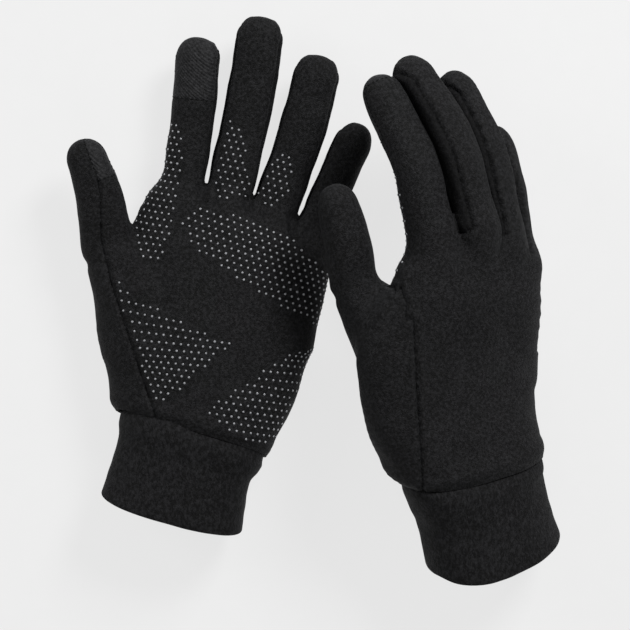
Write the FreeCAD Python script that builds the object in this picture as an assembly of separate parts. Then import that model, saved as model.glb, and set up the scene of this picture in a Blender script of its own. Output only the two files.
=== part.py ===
"""A pair of knitted touchscreen gloves, left and right, lying on a table.

Every glove is a set of cut panels: palm, back, thumb side and cuff on the hand, then a palm side, a back and
fourchettes (the strips between fingers) on each finger, with touch patches and printed silicone grip on top.
Units are millimetres. +Z is up from the table, +Y runs from the wrists to the fingertips, and the left glove
lies on its back with its palm up. The right glove leans on its little-finger side with its back up.
"""
import FreeCAD
import Part
import math
import os

Vector = FreeCAD.Vector

# --- driving dimensions -------------------------------------------------------------------------------------
FABRIC = 1.2              # thickness of one layer of brushed knit
CUFF_WALL = 2.4           # the cuff is folded double
LABEL_GAP = 0.8           # between the care label and the cuff's inner face
PRINT_THICK = 0.5         # silicone grip print
PRINT_GAP = 0.02          # between the print and the fabric under it
STAMP_DEPTH = 60.0        # deeper than any palm is thick
PATCH_LENGTH = 29.0       # touch patch on the index fingertip, from the fingertip back
THUMB_PATCH_LENGTH = 19.0
KNUCKLE_START = 8.0       # a finger's own panels start this far past the web line
KNUCKLE_AXIS = 5.5        # and its bending axis lies here
HAND_END = 2.0            # the hand's panels end this far before the web line
SQUARENESS = 2.8          # exponent of the cross-section, 2 is an ellipse
RIGHT_ROLL = 32.0         # degrees that the right glove leans over towards its little finger
PAIR_CENTRE = (-0.3, 11.1)  # middle of the pair in the measured layout
RIGHT_LIFT = 0.6          # stands the right glove on the table

# Corners of a cross-section, in degrees from the little-finger side towards the palm.
CORNERS = (35, 70, 110, 145, 215, 250, 290, 325)
PALM_SIDE = (0, 1, 2, 3)
THUMB_SIDE = (3, 4)
BACK = (4, 5, 6, 7)
LITTLE_SIDE = (7, 8)

# Share of the half thickness at which the flat facet of the palm or back lies.
FLAT = math.sin(math.radians(CORNERS[1])) ** (2 / SQUARENESS)
ON_TABLE = None           # height of a station whose flat back lies on the table

# --- the two hands: (x, y, z, half width, half thickness) from the wrist outwards -----------------------------
LEFT = {
    "turn": 1,
    "palm": Vector(0, 0, 1),
    "cuff": [(-69.4, -95.0, ON_TABLE, 36.0, 21.0), (-62.7, -70.9, ON_TABLE, 33.5, 20.0),
             (-58.9, -57.7, ON_TABLE, 36.5, 19.0)],
    "hand": [(-58.9, -57.7, ON_TABLE, 37.2, 19.0), (-56.8, -29.0, ON_TABLE, 47.0, 18.5),
             (-53.3, -4.4, ON_TABLE, 55.0, 17.5), (-38.3, 27.1, ON_TABLE, 48.0, 15.0),
             (-30.6, 57.8, ON_TABLE, 46.0, 12.5)],
    "index": [(-63.7, 67.1, 12.0, 10.2, 9.8), (-58.6, 99.2, 15.0, 10.2, 9.0), (-55.9, 133.2, 19.0, 9.6, 8.2)],
    "middle": [(-40.8, 62.7, 12.0, 10.9, 10.0), (-31.0, 104.1, 15.0, 11.2, 9.4), (-24.6, 144.0, 18.5, 10.6, 8.6)],
    "ring": [(-18.0, 55.9, 12.0, 10.9, 9.8), (-4.4, 95.3, 15.0, 11.0, 9.2), (4.2, 125.5, 19.0, 10.2, 8.4)],
    "little": [(3.4, 49.6, 11.5, 8.9, 9.0), (14.5, 75.1, 14.0, 8.7, 8.2), (22.8, 92.2, 18.0, 8.0, 7.4)],
    "thumb": [(-99.8, 33.1, 19.0, 12.6, 11.0), (-104.6, 58.4, 23.0, 11.0, 9.8), (-113.9, 84.6, 27.0, 8.6, 8.0)],
    "gusset": [(-95.2, 14.8, 17.5, 15.5, 12.5), (-99.8, 33.1, 19.0, 12.9, 11.2)],
    "gusset_slant": Vector(-0.80, 0.60, 0.10),
    "webs": [(-52.0, 64.4, 12.5), (-29.4, 57.8, 12.5), (-6.6, 51.2, 12.5)],
    "flex": {"index": (-10, 65), "middle": (-10, 65), "ring": (-10, 65), "little": (-10, 40), "thumb": (-12, 30)},
}
RIGHT = {
    "turn": -1,
    "palm": Vector(-math.sin(math.radians(RIGHT_ROLL)), 0, -math.cos(math.radians(RIGHT_ROLL))),
    "cuff": [(86.2, -113.0, 27.5, 34.5, 22.0), (79.9, -90.6, 30.0, 33.0, 20.5), (74.0, -70.9, 33.0, 36.0, 20.0)],
    "hand": [(74.0, -70.9, 33.0, 37.6, 20.0), (64.9, -37.9, 38.0, 48.5, 19.0), (63.5, -14.2, 41.0, 51.5, 18.0),
             (71.0, 9.0, 44.8, 45.5, 15.5), (73.6, 39.0, 47.5, 41.0, 12.8)],
    "index": [(52.6, 42.9, 61.5, 11.2, 9.8), (46.2, 70.5, 63.5, 10.5, 9.2), (30.0, 110.8, 55.5, 9.6, 8.4)],
    "middle": [(74.0, 46.0, 53.7, 10.3, 9.6), (63.8, 80.0, 55.2, 10.3, 9.0), (44.6, 119.8, 46.5, 9.8, 8.4)],
    "ring": [(88.8, 43.0, 41.8, 9.8, 9.2), (81.4, 76.0, 42.3, 9.8, 8.6), (66.0, 115.0, 34.5, 9.6, 8.0)],
    "little": [(100.2, 34.9, 28.8, 8.6, 8.4), (96.6, 59.4, 27.0, 8.6, 7.8), (89.6, 90.4, 19.5, 7.8, 7.0)],
    "thumb": [(19.6, 16.3, 52.0, 12.0, 11.0), (15.4, 37.0, 58.0, 10.6, 9.8), (8.6, 62.4, 57.5, 8.6, 8.0)],
    "gusset": [(24.8, -2.3, 49.0, 15.5, 12.5), (19.6, 16.3, 52.0, 12.3, 11.2)],
    "gusset_slant": Vector(-0.75, 0.60, 0.25),
    "webs": [(63.6, 45.6, 57.6), (81.6, 46.0, 47.8), (94.6, 40.6, 35.6)],
    "flex": {"index": (-20, 30), "middle": (-20, 30), "ring": (-20, 30), "little": (-15, 30), "thumb": (-12, 14)},
}
FINGERS = ("index", "middle", "ring", "little")

# Outlines of the grip prints on the palm, in mm: across towards the little finger, and along from the wrist.
PALM_PRINTS = {
    "palm_grip_upper": [(-31, 103), (-24, 116), (14, 108), (60, 93), (60, 64), (24, 70), (-12, 88)],
    "palm_grip_thumb_side": [(-70, 92), (-44, 70), (1, 58), (-34, 24)],
    "palm_grip_little_side": [(-6, 28), (26, 46), (50, 56), (60, 12), (24, 8), (-2, 13)],
}
# Grip prints on the fingers: start and end along the finger in mm, and from corner to corner across it.
FINGER_PRINTS = {"index": (12.0, 38.0, 2.0, 3.0), "middle": (8.5, 33.0, 1.1, 2.0), "ring": (8.5, 30.0, 1.1, 1.9)}


# --- vectors and stations -------------------------------------------------------------------------------------
def placed(row, lift):
    """A station's centre, moved from the measured layout to the pair's own origin."""
    height = row[4] * FLAT if row[2] is ON_TABLE else row[2]
    return Vector(row[0] - PAIR_CENTRE[0], row[1] - PAIR_CENTRE[1], height + lift)


def unit(v):
    return v * (1.0 / v.Length)


class Tube:
    """A soft tube: a line of stations, each with a centre, its own axes and half sizes."""

    def __init__(self, hand, name, start=None):
        rows = hand[name]
        self.turn = hand["turn"]
        self.palm = hand["palm"]
        self.centres = [placed(r, hand["lift"]) for r in rows]
        self.sizes = [(r[3], r[4]) for r in rows]
        self.start = start
        self.upright = name in ("cuff", "hand", "gusset")

    def length(self):
        return sum((b - a).Length for a, b in zip(self.centres, self.centres[1:]))

    def axes(self, i):
        """Unit vectors along the tube, across it towards the little finger, and towards the palm."""
        before = self.centres[max(i - 1, 0)]
        after = self.centres[min(i + 1, len(self.centres) - 1)]
        along = unit(after - before)
        if i == 0 and self.start is not None:
            along = self.start
        across = unit(along.cross(self.palm)) * self.turn
        palmar = self.palm if self.upright else unit(across.cross(along)) * self.turn
        return along, across, palmar

    def at(self, s):
        """Centre, axes and half sizes at s, counted in stations."""
        i = min(int(s), len(self.centres) - 2)
        f = s - i
        mix = lambda a, b: a * (1 - f) + b * f
        centre = mix(self.centres[i], self.centres[i + 1])
        here, there = self.axes(i), self.axes(i + 1)
        across = unit(mix(here[1], there[1]))
        palmar = unit(mix(here[2], there[2]))
        sizes = [mix(self.sizes[i][k], self.sizes[i + 1][k]) for k in (0, 1)]
        return centre, across, palmar, sizes

    def station(self, distance):
        """The station number at a distance along the centre line."""
        for i, (a, b) in enumerate(zip(self.centres, self.centres[1:])):
            span = (b - a).Length
            if distance <= span or i == len(self.centres) - 2:
                return i + distance / span
            distance -= span

    def ring(self, s, inset=0.0, shrink=1.0):
        """The corners of the cross-section at s, drawn in by inset."""
        centre, across, palmar, (wide, thick) = self.at(s)
        corners = []
        for degrees in CORNERS:
            c, d = math.cos(math.radians(degrees)), math.sin(math.radians(degrees))
            x = math.copysign(abs(c) ** (2 / SQUARENESS), c) * (wide * shrink - inset)
            z = math.copysign(abs(d) ** (2 / SQUARENESS), d) * (thick * shrink - inset)
            corners.append(centre + across * x + palmar * z)
        return corners


def along_ring(ring, corner):
    """The point at a fractional corner number, wrapping round the ring."""
    i = int(math.floor(corner + 1e-9))
    f = corner - i
    n = len(ring)
    return ring[i % n] * (1 - f) + ring[(i + 1) % n] * f


# --- solids ---------------------------------------------------------------------------------------------------
def triangle(a, b, c):
    if (b - a).cross(c - a).Length < 1e-6:
        return None
    return Part.Face(Part.makePolygon([a, b, c, a]))


def sheet(outer, inner):
    """A closed solid between two grids of points, rows along the tube and columns across the sheet."""
    rows, columns = len(outer), len(outer[0])
    faces = []

    def patch(a, b, c, d):
        faces.extend([triangle(a, b, c), triangle(a, c, d)])

    for r in range(rows - 1):
        for c in range(columns - 1):
            patch(outer[r][c], outer[r][c + 1], outer[r + 1][c + 1], outer[r + 1][c])
            patch(inner[r][c], inner[r + 1][c], inner[r + 1][c + 1], inner[r][c + 1])
        for c in (0, columns - 1):
            patch(outer[r][c], outer[r + 1][c], inner[r + 1][c], inner[r][c])
    for r in (0, rows - 1):
        for c in range(columns - 1):
            patch(outer[r][c], inner[r][c], inner[r][c + 1], outer[r][c + 1])
    shell = Part.makeShell([f for f in faces if f is not None])
    shell.sewShape()
    solid = Part.makeSolid(shell)
    solid.fix(1e-4, 1e-4, 1e-4)
    if solid.Volume < 0:
        solid.reverse()
    return solid.removeSplitter()


def wall(tube, stations, corners, thick=FABRIC, lift=0.0, shrinks=None):
    """The part of a tube's wall between some corners, over some stations."""
    shrinks = shrinks or [1.0] * len(stations)
    outer, inner = [], []
    for s, shrink in zip(stations, shrinks):
        out_ring = tube.ring(s, -lift - (thick if lift else 0.0), shrink)
        in_ring = tube.ring(s, -lift if lift else thick, shrink)
        outer.append([along_ring(out_ring, c) for c in corners])
        inner.append([along_ring(in_ring, c) for c in corners])
    return sheet(outer, inner)


def closed_wall(tube, stations, thick):
    """The whole wall of a tube, made as two halves and joined."""
    half = len(CORNERS) // 2
    first = wall(tube, stations, range(half + 1), thick)
    second = wall(tube, stations, range(half, 2 * half + 1), thick)
    return first.fuse(second).removeSplitter()


TIP_SHAPE = ((11.0, 1.0), (5.5, 0.86), (2.0, 0.55), (0.0, 0.2))  # mm before the tip, and how far it has narrowed


def finger_stations(tube, start, end=None):
    """Station numbers and narrowing from start to the rounded tip, or to a cut at end."""
    total = tube.length()
    distances = [(start, 1.0)]
    bend = (tube.centres[1] - tube.centres[0]).Length
    if start + 3 < bend < (end or total) - 3:
        distances.append((bend, 1.0))
    if end is not None:
        distances.append((end, 1.0))
    else:
        distances += [(total - back, narrow) for back, narrow in TIP_SHAPE if total - back > start + 0.5]
    return [tube.station(d) for d, _ in distances], [n for _, n in distances]


def finger_wall(tube, corners, start, end=None):
    stations, shrinks = finger_stations(tube, start, end)
    return wall(tube, stations, corners, FABRIC, 0.0, shrinks)


def largest(shape):
    return max(shape.Solids, key=lambda solid: solid.Volume)


def grip_print(tube, stations, first, last):
    """A thin print that follows the facets of the fabric under it."""
    inside = [c for c in range(int(first) + 1, math.ceil(last)) if first < c < last]
    return wall(tube, stations, [first, *inside, last], PRINT_THICK, PRINT_GAP)


def print_stamp(tube, outline):
    """A prism through the palm whose section is the print's outline."""
    along = unit(tube.centres[-1] - tube.centres[0])
    across = unit(along.cross(tube.palm)) * tube.turn
    corners = [tube.centres[0] + across * u + along * v for u, v in outline]
    face = Part.Face(Part.makePolygon([*corners, corners[0]]))
    return face.extrude(tube.palm * STAMP_DEPTH)


# --- the pieces of one glove ----------------------------------------------------------------------------------
def make_hand(hand):
    tube = Tube(hand, "hand", Tube(hand, "cuff").axes(2)[0])
    last = len(tube.centres) - 1
    end = last - HAND_END / (tube.centres[last] - tube.centres[last - 1]).Length
    stations = [0, 1, 2, 3, end]
    back_wrap = (4, 5, 6, 7, 8)
    palm = wall(tube, stations, PALM_SIDE)
    index_base = wall(tube, [3, end], THUMB_SIDE)
    pieces = {
        "palm_panel": palm.fuse(index_base).removeSplitter(),
        "back_panel": wall(tube, stations, back_wrap),
        "thumb_side_panel": wall(tube, [0, 1, 2], THUMB_SIDE),
    }
    skin = wall(tube, stations, (0, 1, 2, 3), PRINT_THICK, PRINT_GAP)
    for name, outline in PALM_PRINTS.items():
        pieces[name] = skin.common(print_stamp(tube, outline))
    return pieces


def make_webs(hand):
    """The short fourchette ends in the three crotches between the fingers, one small block each."""
    tube = Tube(hand, "hand")
    along, across, palmar = tube.axes(len(tube.centres) - 1)
    width, depth, height = 1.0, 4.0, 15.0
    blocks = []
    for row in hand["webs"]:
        corner = placed(row, hand["lift"]) - across * (width / 2) - palmar * (height / 2) - along * (depth + 2)
        base = Part.makePolygon([corner, corner + across * width, corner + across * width + palmar * height,
                                 corner + palmar * height, corner])
        blocks.append(Part.Face(base).extrude(along * depth))
    return Part.makeCompound(blocks)


def make_cuff(hand):
    tube = Tube(hand, "cuff")
    label_face = wall(tube, [0.15, 0.75], (5, 6), 0.4)
    middle = tube.at(0.45)
    label_face.translate(middle[2] * (CUFF_WALL + LABEL_GAP))
    end = 2 - 0.5 / (tube.centres[2] - tube.centres[1]).Length
    return {"cuff": closed_wall(tube, [0, 1, end], CUFF_WALL), "care_label": label_face}


def make_finger(hand, finger):
    """Palm side, back and fourchettes of one finger. The index has a touch patch in place of its palm-side tip."""
    tube = Tube(hand, finger)
    total = tube.length()
    pieces = {}
    palm_corners, back_corners = PALM_SIDE, BACK
    fourchettes = [THUMB_SIDE, LITTLE_SIDE]
    if finger == "index":
        palm_corners, fourchettes = (0, 1, 2, 3, 4), [LITTLE_SIDE]
        pieces["index_touch_patch"] = finger_wall(tube, palm_corners, total - PATCH_LENGTH)
    if finger == "little":
        back_corners, fourchettes = (4, 5, 6, 7, 8), [THUMB_SIDE]
    palm_end = total - PATCH_LENGTH if finger == "index" else None
    pieces[finger + "_palm_side"] = finger_wall(tube, palm_corners, KNUCKLE_START, palm_end)
    pieces[finger + "_back"] = finger_wall(tube, back_corners, KNUCKLE_START)
    strips = [finger_wall(tube, corners, KNUCKLE_START) for corners in fourchettes]
    pieces[finger + "_fourchette"] = strips[0] if len(strips) == 1 else Part.makeCompound(strips)
    if finger in FINGER_PRINTS:
        start, end, first, last = FINGER_PRINTS[finger]
        stations, _ = finger_stations(tube, start, end)
        pieces[finger + "_grip"] = grip_print(tube, stations, first, last)
    return pieces


def make_thumb(hand):
    tube = Tube(hand, "thumb")
    total = tube.length()
    inner = (-1, 0, 1, 2, 3)
    outer = (3, 4, 5, 6, 7)
    gusset = Tube(hand, "gusset", hand["gusset_slant"])
    return {
        "thumb_gusset": closed_wall(gusset, [0, 1], FABRIC),
        "thumb_palm_side": finger_wall(tube, inner, KNUCKLE_START, total - THUMB_PATCH_LENGTH),
        "thumb_touch_patch": finger_wall(tube, inner, total - THUMB_PATCH_LENGTH),
        "thumb_outer_side": finger_wall(tube, outer, KNUCKLE_START),
    }


def make_glove(hand, side):
    pieces = {**make_hand(hand), "finger_webs": make_webs(hand), **make_cuff(hand), **make_thumb(hand)}
    for name in ("palm_panel", "back_panel", "thumb_side_panel", "palm_grip_thumb_side"):
        pieces["thumb_gusset"] = largest(pieces["thumb_gusset"].cut(pieces[name]))
    for finger in FINGERS:
        pieces.update(make_finger(hand, finger))
    return {side + "_" + name: shape for name, shape in pieces.items()}


def print_joints(hand, side):
    """The bending axis of each finger, for the record: a point in metres and the axis for bending to the palm."""
    for finger, limits in hand["flex"].items():
        tube = Tube(hand, finger)
        point = tube.centres[0] + tube.axes(0)[0] * KNUCKLE_AXIS
        axis = tube.axes(0)[1] * hand["turn"]
        print("joint", side, finger, [round(v / 1000, 5) for v in point], [round(v, 5) for v in axis], limits)


def main():
    os.makedirs("parts", exist_ok=True)
    LEFT["lift"] = 0.0
    RIGHT["lift"] = RIGHT_LIFT
    everything = {**make_glove(LEFT, "left"), **make_glove(RIGHT, "right")}
    for name, shape in everything.items():
        shape.exportStep("parts/" + name + ".step")
        if not shape.isValid():
            print("not valid:", name)
    box = Part.makeCompound(list(everything.values())).BoundBox
    print("box", [round(v, 2) for v in (box.XMin, box.YMin, box.ZMin, box.XMax, box.YMax, box.ZMax)])
    print_joints(LEFT, "left")
    print_joints(RIGHT, "right")


main()
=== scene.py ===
"""Looks for a pair of knitted touchscreen gloves with a dotted grip print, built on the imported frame.

Lengths inside this script are millimetres in the row frame; meshes are made in metres.
"""

import math

import bpy
import numpy as np
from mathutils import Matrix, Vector, kdtree


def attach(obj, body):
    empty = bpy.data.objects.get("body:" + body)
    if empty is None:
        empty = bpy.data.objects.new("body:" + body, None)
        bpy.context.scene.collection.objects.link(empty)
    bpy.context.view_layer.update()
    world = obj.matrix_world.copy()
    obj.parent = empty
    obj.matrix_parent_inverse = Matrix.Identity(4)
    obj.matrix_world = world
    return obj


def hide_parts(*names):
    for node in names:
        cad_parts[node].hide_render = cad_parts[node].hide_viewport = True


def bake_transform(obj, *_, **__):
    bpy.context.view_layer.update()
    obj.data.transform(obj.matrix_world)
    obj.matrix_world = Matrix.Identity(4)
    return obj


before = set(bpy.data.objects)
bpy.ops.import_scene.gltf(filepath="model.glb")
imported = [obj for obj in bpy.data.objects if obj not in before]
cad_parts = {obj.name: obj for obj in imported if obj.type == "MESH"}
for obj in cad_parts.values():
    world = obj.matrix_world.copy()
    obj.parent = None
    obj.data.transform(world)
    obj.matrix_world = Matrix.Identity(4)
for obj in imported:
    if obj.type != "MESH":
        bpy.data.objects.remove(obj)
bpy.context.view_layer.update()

# ---------------------------------------------------------------- layout of the pair

PAIR_CENTRE = (-0.3, 11.1)
GRID = 1.25
SQUARENESS = 2.5
FABRIC = 1.1
DIGITS = ("thumb", "index", "middle", "ring", "little")
FINGERS = DIGITS[1:]

# Stations along each part: a point on its middle line, its half width and its half thickness.
LEFT = {
    "side": "left",
    "turn": 1,
    "palm": (0.0, 0.0, 1.0),
    "lift": 0.0,
    "cuff": [(-69.4, -95.0, 20.0, 35.2, 19.5), (-66.2, -83.5, 19.5, 34.0, 19.0),
             (-63.2, -71.5, 19.0, 33.3, 18.4), (-60.8, -63.5, 18.8, 35.0, 18.4),
             (-58.9, -57.7, 18.6, 37.2, 18.2)],
    "hand": [(-58.9, -57.7, 18.2, 37.8, 18.6), (-57.0, -46.5, 18.0, 41.6, 18.3),
             (-54.4, -29.0, 17.6, 46.8, 17.8), (-51.6, -5.0, 16.6, 51.5, 16.6),
             (-41.5, 27.1, 14.6, 49.0, 14.6), (-32.2, 51.0, 12.8, 46.2, 12.2)],
    "index": [(-63.7, 67.1, 12.0, 10.4, 9.6), (-58.9, 99.2, 15.0, 10.4, 9.0),
              (-55.9, 134.2, 19.0, 10.2, 8.6)],
    "middle": [(-40.8, 62.7, 12.0, 11.0, 9.8), (-31.6, 104.1, 15.0, 11.2, 9.4),
               (-24.9, 144.2, 18.5, 10.8, 8.8)],
    "ring": [(-18.0, 55.9, 12.0, 11.0, 9.6), (-5.4, 91.3, 15.0, 11.0, 9.2), (3.2, 125.2, 19.0, 10.6, 8.6)],
    "little": [(3.4, 49.6, 11.5, 9.0, 8.8), (14.0, 74.1, 14.0, 8.9, 8.2), (22.9, 92.0, 18.0, 8.6, 7.8)],
    "thumb": [(-99.8, 33.1, 19.0, 12.8, 11.2), (-104.4, 57.4, 23.0, 11.0, 9.9),
              (-112.7, 84.2, 27.0, 9.4, 8.6)],
    "thumb_root": [(-80.0, -28.0, 17.0, 12.0, 12.0), (-90.5, 8.0, 17.5, 14.5, 12.6)],
    "tip": 11.5,
    "root_reach": 10.0,
    "thumb_split": 4.5,
}
ROLL = math.radians(32.0)
RIGHT = {
    "side": "right",
    "turn": -1,
    "palm": (-math.sin(ROLL), 0.0, -math.cos(ROLL)),
    "lift": 0.6,
    "cuff": [(85.2, -111.5, 27.5, 35.2, 20.6), (82.3, -101.5, 29.0, 34.6, 19.8),
             (79.2, -89.5, 30.5, 34.2, 19.4), (76.2, -80.0, 32.0, 35.6, 19.6),
             (74.0, -70.9, 33.0, 37.8, 19.6)],
    "hand": [(74.0, -70.9, 33.0, 38.4, 20.0), (68.0, -54.0, 36.0, 43.4, 19.6),
             (64.4, -37.9, 38.0, 47.2, 19.0), (64.2, -14.2, 41.0, 48.6, 17.8),
             (71.0, 9.7, 44.5, 41.0, 15.6), (71.8, 34.0, 47.2, 36.0, 12.8)],
    "index": [(52.0, 46.0, 61.5, 11.0, 9.9), (45.2, 72.0, 63.0, 10.4, 9.3), (26.8, 110.6, 55.5, 9.2, 8.6)],
    "middle": [(72.0, 50.0, 53.7, 10.7, 9.8), (62.6, 82.0, 55.0, 10.6, 9.3), (41.2, 120.0, 46.5, 9.2, 8.6)],
    "ring": [(86.0, 47.5, 41.8, 10.0, 9.4), (79.4, 78.0, 42.3, 9.9, 8.9), (63.0, 115.0, 34.5, 9.0, 8.2)],
    "little": [(94.6, 37.5, 28.8, 8.6, 8.6), (92.0, 61.0, 27.0, 8.4, 8.0), (85.4, 90.6, 19.8, 7.8, 7.4)],
    "thumb": [(17.8, 16.3, 52.0, 10.6, 11.0), (14.4, 37.0, 57.0, 10.2, 9.8), (7.0, 60.2, 57.5, 8.7, 8.6)],
    "thumb_root": [(42.0, -40.0, 44.0, 12.0, 12.0), (28.0, -5.0, 49.0, 12.4, 12.4)],
    "tip": 15.0,
    "root_reach": 6.0,
    "thumb_split": 2.0,
}


def unit(v):
    v = np.asarray(v, float)
    return v / np.linalg.norm(v, axis=-1, keepdims=True)


def smoothstep(low, high, x):
    t = np.clip((x - low) / (high - low), 0, 1)
    return t * t * (3 - 2 * t)


def smooth_min(a, b, reach):
    h = np.maximum(reach - np.abs(a - b), 0) / reach
    return np.minimum(a, b) - h * h * reach / 4


def placed(glove, x, y, z):
    return np.array([x - PAIR_CENTRE[0], y - PAIR_CENTRE[1], z + glove["lift"]])


def catmull(rows, count):
    """Rows of numbers, read along a smooth curve through them at equal steps."""
    rows = np.asarray(rows, float)
    first = 2 * rows[0] - rows[1]
    last = 2 * rows[-1] - rows[-2]
    p = np.vstack([first, rows, last])
    t = np.linspace(0, len(rows) - 1, count)
    i = np.minimum(t.astype(int), len(rows) - 2)
    f = (t - i)[:, None]
    a, b, c, d = p[i], p[i + 1], p[i + 2], p[i + 3]
    square, cube = 2 * a - 5 * b + 4 * c - d, 3 * b - a - 3 * c + d
    return 0.5 * (2 * b + (c - a) * f + square * f**2 + cube * f**3)


class Tube:
    """A soft tube round a curved centre line. Its half width and half thickness change along it."""

    def __init__(self, glove, stations, before=0.0, swell=0.0, tip=0.0, tail=0.0, tip_shape=2.2, steps=14):
        rows = [(*placed(glove, x, y, z), a, b) for x, y, z, a, b in stations]
        rows = catmull(rows, steps) if len(rows) > 2 else np.array(rows)
        self.start = 0.0
        if before:
            back = rows[0].copy()
            back[:3] -= unit(rows[1][:3] - rows[0][:3]) * before
            back[3:] += swell
            rows = np.vstack([back, rows])
            self.start = -before
        self.points, self.a, self.b = rows[:, :3], rows[:, 3], rows[:, 4]
        self.lengths = np.linalg.norm(np.diff(self.points, axis=0), axis=1)
        self.s = self.start + np.concatenate([[0], np.cumsum(self.lengths)])
        self.total = self.s[-1]
        self.tip, self.tail, self.tip_shape = tip, tail, tip_shape
        palm = np.array(glove["palm"])
        tangents = np.gradient(self.points, axis=0)
        self.along = unit(tangents)
        self.across = unit(np.cross(self.along, palm)) * glove["turn"]
        self.palmar = np.cross(self.across, self.along) * glove["turn"]
        self.low = self.points.min(0) - self.a.max() - 12
        self.high = self.points.max(0) + self.a.max() + 12

    def at(self, s):
        """Centre, the three directions, half width and half thickness at a length along the tube."""
        def read(rows):
            return np.array([np.interp(s, self.s, column) for column in np.atleast_2d(rows.T)])
        along = unit(read(self.along))
        centre = read(self.points) + along * (s - np.clip(s, self.s[0], self.total))
        across, palmar = unit(read(self.across)), unit(read(self.palmar))
        return centre, along, across, palmar, read(self.a)[0], read(self.b)[0]

    def local(self, x):
        """Length along, offset across, offset to the palm, half width and half thickness for each point."""
        best = np.full(len(x), 1e18)
        where = np.zeros(len(x))
        index = np.zeros(len(x), int)
        final = len(self.lengths) - 1
        for k in range(final + 1):
            a, d = self.points[k], (self.points[k + 1] - self.points[k]) / self.lengths[k]
            t = (x - a) @ d
            low = -1e9 if k == 0 else 0.0
            high = 1e9 if k == final else self.lengths[k]
            inside = np.clip(t, low, high)
            offset = x - a - inside[:, None] * d
            distance = np.einsum("ij,ij->i", offset, offset)
            closer = distance < best
            best[closer] = distance[closer]
            where[closer] = inside[closer]
            index[closer] = k
        share = np.clip(where / self.lengths[index], 0, 1)
        def mix(rows):
            s = share if rows.ndim == 1 else share[:, None]
            return rows[index] * (1 - s) + rows[index + 1] * s
        centre = self.points[index] + (self.points[index + 1] - self.points[index]) * share[:, None]
        beyond = x - centre
        across, palmar = unit(mix(self.across)), unit(mix(self.palmar))
        u = np.einsum("ij,ij->i", beyond, across)
        p = np.einsum("ij,ij->i", beyond, palmar)
        return self.s[index] + where, u, p, mix(self.a), mix(self.b)

    def value(self, x):
        """Roughly the distance outside the tube's surface, negative inside."""
        s, u, p, a, b = self.local(x)
        n, m = SQUARENESS, self.tip_shape
        ua, pb = np.abs(u / a) + 1e-6, np.abs(p / b) + 1e-6
        r = (ua**n + pb**n) ** (1 / n)
        slope = np.sqrt((ua ** (n - 1) / a) ** 2 + (pb ** (n - 1) / b) ** 2) / r ** (n - 1)
        ends = ((self.tip, s - self.total + self.tip), (self.tail, self.start + self.tail - s))
        for length, beyond in ends:
            if length:
                e = np.maximum(beyond, 0) / length + 1e-6
                whole = (r**m + e**m) ** (1 / m)
                round_part, end_part = slope * (r / whole) ** (m - 1), (e / whole) ** (m - 1) / length
                slope = np.sqrt(round_part ** 2 + end_part ** 2)
                r = whole
        return (r - 1) / slope

    def value_near(self, x):
        """value() where the point is near the tube, and a large number elsewhere."""
        near = np.all((x > self.low) & (x < self.high), axis=1)
        out = np.full(len(x), 30.0)
        out[near] = np.minimum(self.value(x[near]), 30.0)
        return out


class Glove:
    """The outer skin of one glove as a field that is zero on the skin."""

    def __init__(self, data):
        self.data = data
        self.side = data["side"]
        self.hand = Tube(data, data["hand"], before=14.0, tip=13.0, tip_shape=2.4, steps=36)
        self.root = Tube(data, data["thumb_root"] + data["thumb"][:1], tip=9.0, tail=18.0, steps=12)
        self.tubes = {}
        for d in FINGERS:
            self.tubes[d] = Tube(data, data[d], before=24.0, swell=1.5, tip=data["tip"], tail=18.0)
        self.tubes["thumb"] = Tube(data, data["thumb"], before=8.0, tip=11.0, tail=6.0)
        self.split = {d: 0.0 for d in FINGERS}
        self.split["thumb"] = data["thumb_split"]

    def body(self, x):
        return smooth_min(self.hand.value_near(x), self.root.value_near(x), self.data["root_reach"])

    def skin(self, x, only=None):
        """The field of the whole glove, or of one finger, which leaves the others just past the web."""
        body = self.body(x)
        digits = {d: self.tubes[d].value_near(x) for d in DIGITS}
        joined = {d: smooth_min(body, digits[d], 4.5 if d == "thumb" else 10.0) for d in DIGITS}
        lengths = {d: self.length_along(d, x) for d in FINGERS}
        for a, b in zip(FINGERS[:-1], FINGERS[1:]):
            s = (lengths[a] + lengths[b]) / 2
            half_gap = 0.85 - 0.65 * smoothstep(5.0, 18.0, s) - 14 * (1 - smoothstep(-5.0, -1.0, s))
            nearer = (digits[a] - digits[b]) / 2
            joined[a] = -smooth_min(-joined[a], -(nearer + half_gap), 1.2)
            joined[b] = -smooth_min(-joined[b], nearer - half_gap, 1.2)
        whole = joined["thumb"]
        for d in FINGERS:
            whole = smooth_min(whole, joined[d], 0.8)
        if only is None or only == "thumb":
            return whole
        leave = smoothstep(4.0, 9.0, lengths[only])
        return whole + (joined[only] - whole) * leave

    def length_along(self, digit, x):
        """Straight length past the finger's base along its first direction."""
        centre, along = self.tubes[digit].at(0.0)[:2]
        return (x - centre) @ along

    def owner(self, x):
        """Which digit each point is nearest to: a number in DIGITS, or -1 for the hand."""
        values = np.stack([self.tubes[d].value_near(x) for d in DIGITS])
        nearest = values.argmin(0)
        hand_wins = (nearest == 0) & (self.hand.value_near(x) < values[0])
        return np.where(hand_wins, -1, nearest)

    def palmness(self, x):
        """1 on the palm face, -1 on the back and 0 round the edges, read from the tubes near each point."""
        total, weight = np.zeros(len(x)), np.full(len(x), 1e-12)
        for tube in (self.hand, self.root, *self.tubes.values()):
            near = np.all((x > tube.low) & (x < tube.high), axis=1)
            value = tube.value(x[near])
            _, _, p, _, b = tube.local(x[near])
            w = np.exp(-np.clip(value, -9, 25) / 2.5)
            total[near] += w * p / b
            weight[near] += w
        return total / weight

    def plan(self, x):
        """Plan coordinates of points in the layout's own measure."""
        return x[:, :2] + np.array(PAIR_CENTRE)


# ---------------------------------------------------------------- surface of a field

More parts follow.
